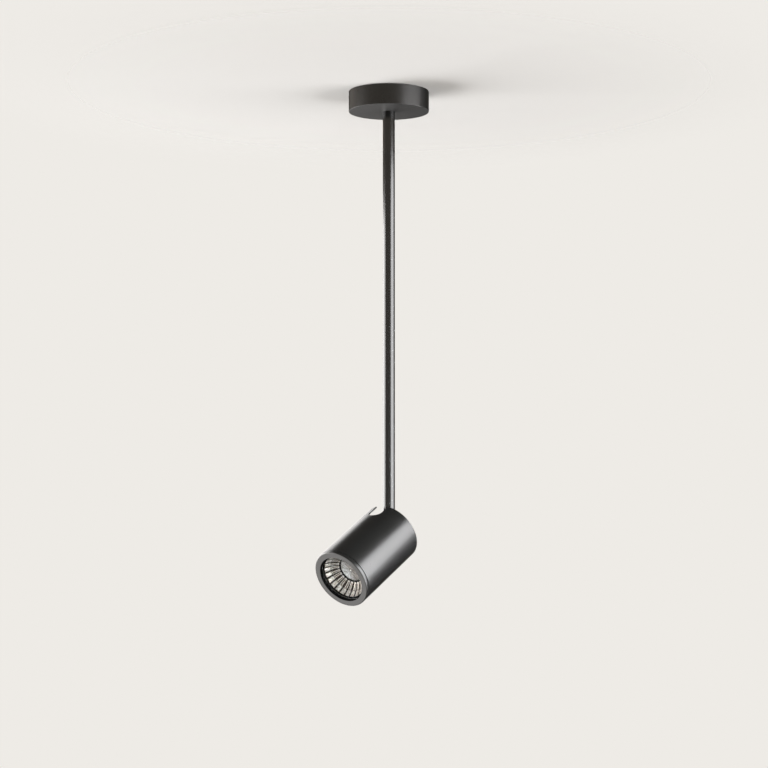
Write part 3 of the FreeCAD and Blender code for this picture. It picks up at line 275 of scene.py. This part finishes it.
def black_coat(name, dark, light, roughness, underside=0.0):
    """Satin black coat: a fine grain, faint cloudiness and a few handling marks.

    The canopy's flat underside is coated less smoothly than its side.
    """
    finish = Finish(name, IOR=1.6)
    place = finish.place()
    grain = finish.noise(place, scale=2600.0, detail=3.0, roughness=0.6)
    cloud = finish.noise(place, scale=35.0, detail=3.0, roughness=0.55)
    along = finish.stretched(place, (1.0, 1.0, 0.35))
    marks = finish.noise(along, scale=160.0, detail=5.0, roughness=0.7)
    if underside:
        roughness += finish.fade(place.part("Z"), CANOPY_SIDE_END, CANOPY_UNDERSIDE) * underside
    finish.feed(
        Base_Color=finish.mix(cloud, dark, light),
        Roughness=roughness + cloud.swing(0.10) + grain.swing(0.08) + marks.swing(0.06))
    finish.bumped(grain, strength=0.12, depth=0.02 * MM)
    return finish.material


def plated_steel(name, red, green, blue, roughness):
    """Zinc-plated steel: drawn streaks, a faint grain and slight changes of tone."""
    finish = Finish(name, Metallic=1.0)
    place = finish.place()
    drawn = finish.stretched(place, (1.0, 12.0, 1.0))
    streaks = finish.noise(drawn, scale=420.0, detail=4.0, roughness=0.6)
    spangle = finish.noise(place, scale=190.0)
    worn = colour(red * 0.78, green * 0.78, blue * 0.78)
    finish.feed(
        Base_Color=finish.mix(spangle, worn, colour(red, green, blue)),
        Roughness=roughness + streaks.swing(0.18) + spangle.swing(0.08))
    finish.bumped(streaks, strength=0.15, depth=0.02 * MM)
    return finish.material


def plain_brass():
    finish = Finish("brass", Metallic=1.0)
    place = finish.place()
    tarnish = finish.noise(place, scale=260.0, detail=4.0, roughness=0.6)
    finish.feed(
        Base_Color=finish.mix(tarnish, colour(0.52, 0.36, 0.14), colour(0.80, 0.62, 0.30)),
        Roughness=0.22 + tarnish * 0.22)
    finish.bumped(finish.noise(place, scale=2400.0), strength=0.10, depth=0.02 * MM)
    return finish.material


def black_rubber():
    """Matte moulded silicone with a soft bloom."""
    finish = Finish("black_rubber", Specular_IOR_Level=0.12)
    place = finish.place()
    bloom = finish.noise(place, scale=120.0, detail=4.0, roughness=0.6)
    finish.feed(
        Base_Color=finish.mix(bloom, shade(0.001), shade(0.003)),
        Roughness=0.72 + bloom * 0.18)
    finish.bumped(finish.noise(place, scale=1900.0, detail=3.0), strength=0.25, depth=0.04 * MM)
    return finish.material


def painted_recess_shade():
    """Painted shade: dead matte black inside the front ring, darker than its coat, so that it
    throws no light back.
    """
    finish = Finish("painted_recess_shade", Specular_IOR_Level=0.05)
    shade_mottle = finish.noise(finish.place(), scale=400.0, detail=3.0, roughness=0.6)
    finish.feed(
        Base_Color=finish.mix(shade_mottle, shade(0.0005), shade(0.0015)),
        Roughness=0.85 + shade_mottle * 0.10)
    finish.bumped(shade_mottle, strength=0.15, depth=0.02 * MM)
    return finish.material


def white_moulding(name, red, green, blue, roughness, coat=0.0):
    """White plastic or glazed ceramic with a slight unevenness."""
    finish = Finish(name, Coat_Weight=coat, Coat_Roughness=0.08)
    place = finish.place()
    mottle = finish.noise(place, scale=300.0, detail=3.0)
    warmer = colour(red * 0.94, green * 0.92, blue * 0.88)
    finish.feed(
        Base_Color=finish.mix(mottle, warmer, colour(red, green, blue)),
        Roughness=roughness + mottle.swing(0.12))
    finish.bumped(finish.noise(place, scale=1500.0), strength=0.12, depth=0.03 * MM)
    return finish.material


def insulation(name, red, green, blue, stripe=None):
    """Glossy insulation, with a second colour wound round it for the earth lead."""
    finish = Finish(name)
    place = finish.place()
    dust = finish.noise(place, scale=500.0, detail=3.0, roughness=0.6)
    darker = colour(red * 0.75, green * 0.75, blue * 0.75)
    outside = finish.mix(dust, darker, colour(red, green, blue))
    if stripe is not None:
        band = (place.part("Z") * 900.0 + place.part("X") * 700.0).maths("SINE")
        outside = finish.mix((band * 6.0 + 0.5).clamped(), outside, stripe)
    finish.feed(Base_Color=outside, Roughness=0.30 + dust * 0.15)
    finish.bumped(dust, strength=0.08, depth=0.02 * MM)
    return finish.material


def lamp_metal():
    """Cast aluminium of the lamp's body."""
    finish = Finish("lamp_metal", Metallic=1.0)
    cast = finish.noise(finish.place(), scale=700.0, detail=4.0, roughness=0.6)
    finish.feed(
        Base_Color=finish.mix(cast, shade(0.55), shade(0.72)),
        Roughness=0.38 + cast * 0.15)
    finish.bumped(cast, strength=0.25, depth=0.05 * MM)
    return finish.material


def bright_bowl():
    """Bright metallised ribs: painted shade in the creases and along a jagged step half way down,
    painted reflections of the facing ribs as finer lines below it, painted shade in the throat and
    a darkened edge at the mouth.

    Depths are shares of the bowl's depth, from its mouth to its throat.
    """
    finish = Finish("bright_bowl", Metallic=0.85)
    place = finish.head_place()
    depth = (place.part("Z") / MM - BOWL_FRONT) / BOWL_DEPTH
    around = place.part("Y").maths("ARCTAN2", place.part("X"))
    ribs_passed = around * (RIB_COUNT / (2 * math.pi)) + 0.5
    off_middle = (ribs_passed.maths("FRACT") - 0.5).maths("ABSOLUTE") * 2.0
    # Painted shade in the creases between the ribs
    crease_shade = finish.fade(off_middle, 0.54, 0.82)

    haze = finish.noise(finish.place(), scale=330.0, detail=3.0, roughness=0.65)
    ragged = depth + haze.swing(0.10)
    below_step = finish.fade(ragged, 0.46, 0.54)
    above_throat = finish.fade_out(depth, 0.86, 0.93)
    # Painted reflections of the facing ribs: fine dark lines between the step and the throat
    wave = (ribs_passed * (2 * math.pi * REFLECTED_LINES_PER_RIB)).maths("COSINE")
    rib_reflection_lines = below_step * above_throat * finish.fade(wave, -0.5, 0.3)
    # Painted shade along the jagged step half way down the bowl
    step = finish.fade(ragged, 0.42, 0.48) * finish.fade_out(ragged, 0.48, 0.54)
    # Painted shade in the bowl's throat round the disc
    throat_shade = finish.fade(depth, 0.94, 0.98)
    rim = finish.fade_out(depth, 0.005, 0.03)

    patches = finish.noise(finish.place(), scale=700.0)
    tone = finish.fade(patches, 0.38, 0.62)
    silver = finish.mix(tone, colour(0.64, 0.575, 0.50), colour(1.0, 0.985, 0.96))
    # The painted reflections and the painted shade of the step darken the ribs alike
    painted_lines_and_step = (rib_reflection_lines * 0.95).maths("MAXIMUM", step * 0.7)
    ribs = finish.mix(painted_lines_and_step, silver, colour(0.10, 0.075, 0.055))
    crease_shaded = finish.mix(crease_shade * 0.97, ribs, colour(0.02, 0.014, 0.010))
    finish.feed(
        Base_Color=finish.mix(throat_shade.maths("MAXIMUM", rim), crease_shaded, shade(0.006)),
        Roughness=0.26 + haze * 0.14 + finish.fade(depth, 0.60, 0.90) * 0.18)
    finish.bumped(rib_reflection_lines * 0.3 + patches * 0.9, strength=0.5, depth=0.10 * MM)
    return finish.material


def frosted_disc():
    """Frosted diffuser, slightly dished: moulded rays, a painted highlight on the nib in the
    middle, painted shade round the nib and painted shade at the edge.
    """
    finish = Finish("frosted_disc", Coat_Weight=0.25, Coat_Roughness=0.26)
    across = finish.stretched(finish.head_place(), (1.0, 1.0, 0.0))
    radius = finish.length(across) / MM
    outward = finish.vector("NORMALIZE", across)
    rays = finish.noise(outward, scale=11.0, detail=3.0, roughness=0.6)
    cloud = finish.noise(finish.place(), scale=300.0, detail=4.0, roughness=0.65)
    tone = finish.fade(rays * 0.6 + cloud * 0.4, 0.34, 0.66)
    milk = finish.mix(tone, colour(0.10, 0.078, 0.064), colour(0.62, 0.61, 0.60))
    # Painted shade in the hollow round the nib
    pit_shade = finish.fade_out(radius, *PIT_SHADE_EDGE, high=0.6)
    pit_shaded = finish.mix(pit_shade, milk, colour(0.07, 0.06, 0.05))
    # Painted highlight on the nib
    nib_highlighted = finish.mix(finish.fade_out(radius, *NIB_HIGHLIGHT_EDGE), pit_shaded, colour(0.95, 0.93, 0.88))
    finish.feed(
        # Painted shade at the disc's edge, where it meets the throat
        Base_Color=finish.mix(finish.fade(radius, *DISC_EDGE_SHADE), nib_highlighted,
                              colour(0.020, 0.014, 0.010)),
        Roughness=0.34 + cloud * 0.16)
    dish = radius * radius * DISC_DISHING
    finish.bumped(dish + rays * 0.04 + cloud * 0.02, strength=1.0, depth=MM)
    return finish.material


def clear_glass():
    """Thin clear glass: mostly what lies behind it, with its gloss on top."""
    finish = Finish("clear_glass", IOR=1.45)
    film = finish.noise(finish.place(), scale=90.0, detail=4.0, roughness=0.6)
    finish.feed(
        Base_Color=finish.mix(film, colour(0.010, 0.012, 0.012), colour(0.030, 0.036, 0.035)),
        Roughness=0.02 + film * 0.03, Alpha=0.04 + film * 0.03)
    return finish.material


def pale_air():
    """Even pale glow for the air round the light."""
    return Finish("pale_air", Roughness=1.0, Base_Color=shade(0.0), Specular_IOR_Level=0.0,
                  Emission_Color=PALE_AIR, Emission_Strength=1.0).material


def ceiling_paint():
    """Matte ceiling that fades out away from the canopy and can't be seen from above.

    It is open over the canopy's plate, so that light reaches the plate's upper side.
    """
    finish = Finish("ceiling_paint", Roughness=1.0, Specular_IOR_Level=0.0)
    away = finish.length(finish.place())
    above = finish.node("ShaderNodeNewGeometry", {}, {}, "Backfacing")
    beside_plate = finish.fade(away, *CEILING_HOLE)
    nearby = finish.fade_out(away, *CEILING_FADE)
    finish.feed(Base_Color=CEILING_PAINT, Alpha=nearby * beside_plate * (1.0 - above))
    return finish.material


def dress(piece, *finishes):
    piece.data.materials.clear()
    for finish in finishes:
        piece.data.materials.append(finish)


def show(name, data):
    """Object of that name in the scene."""
    item = bpy.data.objects.new(name, data)
    bpy.context.scene.collection.objects.link(item)
    return item


def new_piece(name, mesh_work, *finishes):
    """Object made from a filled bmesh."""
    mesh = bpy.data.meshes.new(name)
    bmesh.ops.recalc_face_normals(mesh_work, faces=mesh_work.faces)
    mesh_work.to_mesh(mesh)
    mesh_work.free()
    piece = show(name, mesh)
    dress(piece, *finishes)
    return piece


def stand_in(piece, slot, body, *nodes):
    """The piece shows in place of CAD nodes and moves with their body."""
    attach(piece, body)
    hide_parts(*nodes)


def on_head(radius, angle, height):
    """Point round the head's axis, from millimetres with the head hanging straight down."""
    place = Vector((radius * math.cos(angle), radius * math.sin(angle), height))
    return HEAD @ (place * MM)


def ring_grid(rows, columns, spot):
    """Closed grid of quads, smooth but for its sharp corners; spot places a row and column."""
    mesh_work = bmesh.new()
    grid = [[mesh_work.verts.new(spot(row, column)) for column in range(columns)]
            for row in range(rows)]
    for row in range(rows):
        below = grid[(row + 1) % rows]
        for column in range(columns):
            beside = (column + 1) % columns
            mesh_work.faces.new((grid[row][column], grid[row][beside],
                                 below[beside], below[column]))
    for face in mesh_work.faces:
        face.smooth = True
    mesh_work.normal_update()
    sharp_corner = math.radians(35)
    for edge in mesh_work.edges:
        if edge.calc_face_angle(0.0) > sharp_corner:
            edge.smooth = False
    return mesh_work


def bowl_share(depth):
    """How wide the bowl is at a depth, both as shares."""
    for (low, wide), (high, narrow) in zip(BOWL_SHARES, BOWL_SHARES[1:]):
        if depth <= high:
            return wide + (narrow - wide) * (depth - low) / (high - low)
    return BOWL_SHARES[-1][1]


def ribbed_bowl():
    """Bowl of ribs that bulge towards the axis and meet in sharp creases."""
    half_rib = math.pi / RIB_COUNT
    span = MOUTH_RADIUS - THROAT_RADIUS
    depths = [row / (INNER_ROWS - 1) for row in range(INNER_ROWS)]
    rows = [(THROAT_RADIUS + bowl_share(depth) * span, depth, True) for depth in depths]
    floor = 1.0 + BOWL_WALL / BOWL_DEPTH
    outside = rows[-1][0] + BOWL_WALL
    ledge = [(THROAT_RADIUS, 1.0, False), (THROAT_RADIUS, floor, False), (outside, floor, False)]
    back = [(radius + BOWL_WALL, depth, False) for radius, depth, _ in reversed(rows)
            if BACK_START_SHARE < depth < 1.0]
    seat = FLANGE_THICKNESS / BOWL_DEPTH
    back += [(back[-1][0], seat, False), (FLANGE_RADIUS, seat, False), (FLANGE_RADIUS, 0.0, False)]
    rows += ledge + back

    def spot(row, column):
        radius, depth, ribbed = rows[row]
        across = 2 * (column % COLUMNS_PER_RIB) / COLUMNS_PER_RIB - 1
        if ribbed:
            chord = radius * math.cos(half_rib) / math.cos(across * half_rib)
            rise = RIB_RISE * radius / MOUTH_RADIUS
            radius = chord - rise * (1 - across ** 2)
        angle = half_rib + 2 * half_rib * column / COLUMNS_PER_RIB
        return on_head(radius, angle, BOWL_FRONT + depth * BOWL_DEPTH)

    mesh_work = ring_grid(len(rows), RIB_COUNT * COLUMNS_PER_RIB, spot)
    bowl = new_piece("ribbed_bowl", mesh_work, FINISHES["reflector_metal"])
    stand_in(bowl, "reflector_metal", "lamp", "lamp_reflector")


def arc(across, up, radius, start, end, steps):
    """Corner points of a round edge, angles in degrees."""
    points = []
    for step in range(steps + 1):
        angle = math.radians(start + (end - start) * step / steps)
        points.append((across + radius * math.cos(angle), up + radius * math.sin(angle)))
    return points


def ring_outline():
    """Radius and height of each corner of the front ring, from its lip round to its bore."""
    face_end = BAND_RADIUS - FACE_ROUND
    lip_end = LIP_RADIUS + LIP_BREAK
    outline = [(lip_end, RING_FRONT), (lip_end + FLAT_MARGIN, RING_FRONT),
               (face_end - FLAT_MARGIN, RING_FRONT)]
    outline += arc(face_end, RING_FRONT + FACE_ROUND, FACE_ROUND, -90, 0, steps=5)
    outline += arc(BAND_RADIUS - BACK_ROUND, BAND_BACK - BACK_ROUND, BACK_ROUND, 0, 90, steps=3)
    height = BAND_BACK + THREAD_NECK
    outline += [(THREAD_CREST, BAND_BACK), (THREAD_CREST, height)]
    while height < THREAD_BACK - THREAD_RUN_OUT:
        outline += [(THREAD_ROOT, height + THREAD_ROOT_START),
                    (THREAD_ROOT, height + THREAD_ROOT_END),
                    (THREAD_CREST, height + THREAD_STEP)]
        height += THREAD_STEP
    return outline + [
        (THREAD_CREST, THREAD_BACK - THREAD_LEAD_IN), (THREAD_CREST - THREAD_LEAD_IN, THREAD_BACK),
        (SPIGOT_MOUTH, THREAD_BACK), (SPIGOT_RADIUS, THREAD_BACK - SPIGOT_BREAK),
        (SPIGOT_RADIUS, LIP_BACK), (LIP_RADIUS, LIP_BACK), (LIP_RADIUS, RING_FRONT + LIP_BREAK)]


def front_ring():
    """Front ring with softly rounded edges, thread grooves on its spigot and painted shade in its
    recess.
    """
    outline = ring_outline()
    segments = 128

    def spot(row, column):
        radius, height = outline[row]
        return on_head(radius, 2 * math.pi * column / segments, height)

    mesh_work = ring_grid(len(outline), segments, spot)
    ring = new_piece("screwed_front_ring", mesh_work, FINISHES["black_metal"], RECESS_SHADE_FINISH)
    to_head = HEAD.inverted()
    # Faces inside the lip take the painted shade of the recess
    for face in ring.data.polygons:
        if (to_head @ face.center).xy.length < RECESS_RADIUS * MM:
            face.material_index = 1
    stand_in(ring, "black_metal", "front_ring", "front_ring")


def paint_strands(piece, finishes):
    """Each separate strand of a mesh gets a finish of its own, from left to right."""
    mesh_work = bmesh.new()
    mesh_work.from_mesh(piece.data)
    bmesh.ops.remove_doubles(mesh_work, verts=mesh_work.verts, dist=1e-6)
    left = set(mesh_work.faces)
    strands = []
    while left:
        strand, edge_of_strand = set(), [left.pop()]
        while edge_of_strand:
            face = edge_of_strand.pop()
            strand.add(face)
            beside = {other for edge in face.edges for other in edge.link_faces} & left
            left -= beside
            edge_of_strand += beside
        strands.append(strand)
    strands.sort(key=lambda strand: sum(face.calc_center_median().x for face in strand))
    for index, strand in enumerate(strands):
        for face in strand:
            face.material_index = index
            face.smooth = True
    mesh_work.to_mesh(piece.data)
    mesh_work.free()
    dress(piece, *finishes)


def bending_leads():
    """Leads that cross a joint between its two bodies: each is copied with a finish for each
    strand and shows in place of its CAD node. The table also gives a stretch in millimetres for
    each.
    """
    supply = [FINISHES["supply_insulation"], BLUE_INSULATION]
    earth = [FINISHES["earth_insulation"]]
    canopy_way = (0, -12.0, -5.5), (0, -1.5, -5.5)
    earth_way = (8.0, 4.8, -3.0), (1.6, 1.0, -3.0)
    pivot_way = (0, 3.3, -431.0), (0, 5.5, -460.0)
    rows = [
        ("canopy_leads", "canopy", "rod", canopy_way, supply, "supply_insulation"),
        ("canopy_earth_lead", "canopy", "rod", earth_way, earth, "earth_insulation"),
        ("head_leads", "rod", "head", pivot_way, supply, "supply_insulation"),
        ("head_earth_lead", "rod", "head", pivot_way, earth, "earth_insulation"),
    ]
    for node, first, second, (start, end), finishes, slot in rows:
        lead = show(f"{node}_bending", frame["nodes"][node].data.copy())
        paint_strands(lead, finishes)
        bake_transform(lead)
        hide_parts(node)


def surroundings():
    """Pale air all round, and the ceiling that the canopy hangs from."""
    mesh_work = bmesh.new()
    bmesh.ops.create_icosphere(mesh_work, subdivisions=4, radius=AIR_RADIUS)
    air = new_piece("pale_air", mesh_work, pale_air())
    air.visible_glossy = False
    air.visible_diffuse = False
    air.visible_shadow = False
    mesh_work = bmesh.new()
    bmesh.ops.create_circle(mesh_work, cap_ends=True, segments=64, radius=CEILING_RADIUS,
                            matrix=Matrix.Rotation(math.pi, 4, "X"))
    ceiling = new_piece("ceiling", mesh_work, ceiling_paint())
    ceiling.location.z = CEILING_GAP
    ceiling.visible_glossy = False


def turned(degrees):
    """Level direction, turned from the camera's side towards its right."""
    turn = math.radians(degrees)
    return math.cos(turn) * TO_CAMERA + math.sin(turn) * TO_RIGHT


def panel(name, width, height, glow, tint):
    """Flat soft light of a given brightness, which faces down until it is turned."""
    lamp = bpy.data.lights.new(name, "AREA")
    lamp.shape = "RECTANGLE"
    lamp.size, lamp.size_y = width, height
    lamp.energy = glow * math.pi * width * height
    lamp.color = tint
    light = show(name, lamp)
    return light


def softbox(name, turn, distance, width, heights, glow, tint):
    """Upright soft light that faces the rod, between two heights."""
    low, high = heights
    light = panel(name, width, high - low, glow, tint)
    light.location = turned(turn) * distance + Vector((0, 0, (low + high) / 2))
    light.rotation_mode = "QUATERNION"
    light.rotation_quaternion = (-turned(turn)).to_track_quat("-Z", "Y")
    return light


def lighting():
    """Tall softboxes for the long reflections, and lights that only brighten matte surfaces.

    The washes shade the ceiling, the front light reaches into the lamp, and the overhead light
    falls on the canopy's plate.
    """
    for reflected in (
            softbox("right_softbox", 68.5, 0.70, 0.79, (-1.0, 0.06), 8.6, COOL_LIGHT),
            softbox("left_softbox", -104, 0.70, 0.94, (-0.57, -0.01), 8.0, WARM_LIGHT),
            softbox("low_left_softbox", -102, 0.72, 1.20, (-1.90, -0.59), 2.1, WARM_LIGHT),
            softbox("back_left_softbox", -155, 0.62, 0.34, (-0.6, 0.0), 2.2, WARM_LIGHT)):
        reflected.visible_diffuse = False
    right = softbox("right_wash", 66, 2.0, 2.3, (-1.40, -0.03), 8.2, WASH_LIGHT)
    left = softbox("left_wash", -116, 2.0, 2.3, (-1.40, -0.03), 12.8, WASH_LIGHT)
    front = softbox("front_grid_softbox", 14, 2.05, 0.46, (-0.80, -0.34), 5.5, LAMP_LIGHT)
    front.data.spread = math.radians(26)
    overhead = panel("overhead_softbox", 0.10, 0.10, 1.6, WASH_LIGHT)
    overhead.location.z = 0.12
    for matte in (right, left, front, overhead):
        matte.visible_glossy = False


def open_air():
    """Dim warm surroundings: brightest a little above the level, darkest behind the light."""
    world = bpy.data.worlds.new("studio")
    world.use_nodes = True
    air = Nodes(world.node_tree)
    direction = air.node("ShaderNodeTexCoord", {}, {}, "Generated")
    height = direction.part("Z")
    behind = air.vector("DOT_PRODUCT", direction, turned(158), output="Value")
    above = air.fade(height, 0.25, 0.60, 0.50, 0.14)
    below = air.fade(height, -0.05, 0.15, 0.62, 1.0)
    background = world.node_tree.nodes["Background"]
    background.inputs["Color"].default_value = AIR_TINT
    air.join(above * below * air.fade(behind, 0.30, 0.75, 1.0, 0.10),
             background.inputs["Strength"])
    bpy.context.scene.world = world


def camera():
    lens = bpy.data.cameras.new("camera")
    lens.lens = CAMERA_LENS
    lens.sensor_width = CAMERA_SENSOR
    lens.shift_x = CAMERA_SHIFT
    view = show("camera", lens)
    view.location = TO_CAMERA * CAMERA_DISTANCE + Vector((0, 0, CAMERA_HEIGHT))
    view.rotation_euler = Euler((math.pi / 2 + CAMERA_PITCH, 0, CAMERA_TURN))
    bpy.context.scene.camera = view


BLACK = shade(0.004), shade(0.007)
FINISHES = {
    "black_metal": black_coat("black_coat", *BLACK, 0.30),
    "black_casting": black_coat("black_casting", shade(0.010), shade(0.018), 0.42),
    "zinc_steel": plated_steel("zinc_steel", 0.60, 0.61, 0.63, 0.34),
    "screw_steel": plated_steel("screw_steel", 0.52, 0.53, 0.55, 0.28),
    "brass": plain_brass(),
    "black_rubber": black_rubber(),
    "white_plastic": white_moulding("white_plastic", 0.80, 0.80, 0.78, 0.45),
    "white_ceramic": white_moulding("white_ceramic", 0.84, 0.83, 0.79, 0.25, coat=0.6),
    "supply_insulation": insulation("brown_insulation", 0.16, 0.065, 0.03),
    "earth_insulation": insulation("earth_insulation", 0.09, 0.33, 0.05,
                                   stripe=colour(0.72, 0.62, 0.05)),
    "lamp_aluminium": lamp_metal(),
    "board_white": white_moulding("board_white", 0.82, 0.82, 0.80, 0.40),
    "reflector_metal": bright_bowl(),
    "frosted_lens": frosted_disc(),
    "clear_glass": clear_glass(),
}
RECESS_SHADE_FINISH = painted_recess_shade()
CANOPY_COAT = black_coat("canopy_coat", *BLACK, 0.30, underside=0.28)
ROD_COAT = black_coat("rod_coat", *BLACK, 0.16)
BLUE_INSULATION = insulation("blue_insulation", 0.03, 0.10, 0.36)

for row in frame["record"]["subparts"]:
    dress(frame["nodes"][row["node"]], FINISHES[row["material_slot"]])
dress(frame["nodes"]["rod_tube"], ROD_COAT)
dress(frame["nodes"]["canopy_cover"], CANOPY_COAT)
ribbed_bowl()
front_ring()
bending_leads()

surroundings()
lighting()
open_air()
camera()
bpy.context.scene.view_settings.view_transform = "Standard"
